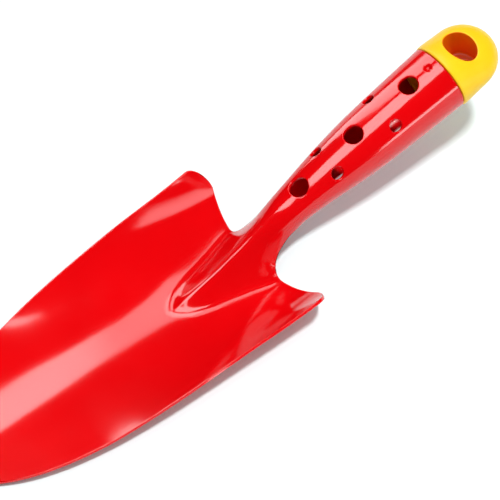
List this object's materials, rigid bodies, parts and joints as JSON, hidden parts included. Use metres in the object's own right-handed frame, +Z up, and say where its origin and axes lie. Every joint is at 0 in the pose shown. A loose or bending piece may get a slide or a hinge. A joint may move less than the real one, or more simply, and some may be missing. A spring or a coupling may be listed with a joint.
{
  "type": "hand trowel",
  "caption": "Hand trowel with a wide dished blade and a rolled, perforated tube handle pressed from one enamelled steel sheet, and a plastic hanging cap.",
  "frame": {"origin": "middle of the underside of the box round the whole trowel, as it lies on its belly on a level surface", "axes": "+X from the blade's tip towards the hanging end, +Y to the left, +Z up out of the open scoop"},
  "size_m": [0.2906, 0.0862, 0.0555],
  "materials": {
    "red_enamelled_steel": "gloss",
    "yellow_plastic": "satin"
  },
  "bodies": {
    "root": {"pressed_steel_body": "red_enamelled_steel", "hanging_end_cap": "yellow_plastic"}
  },
  "joints": []
}
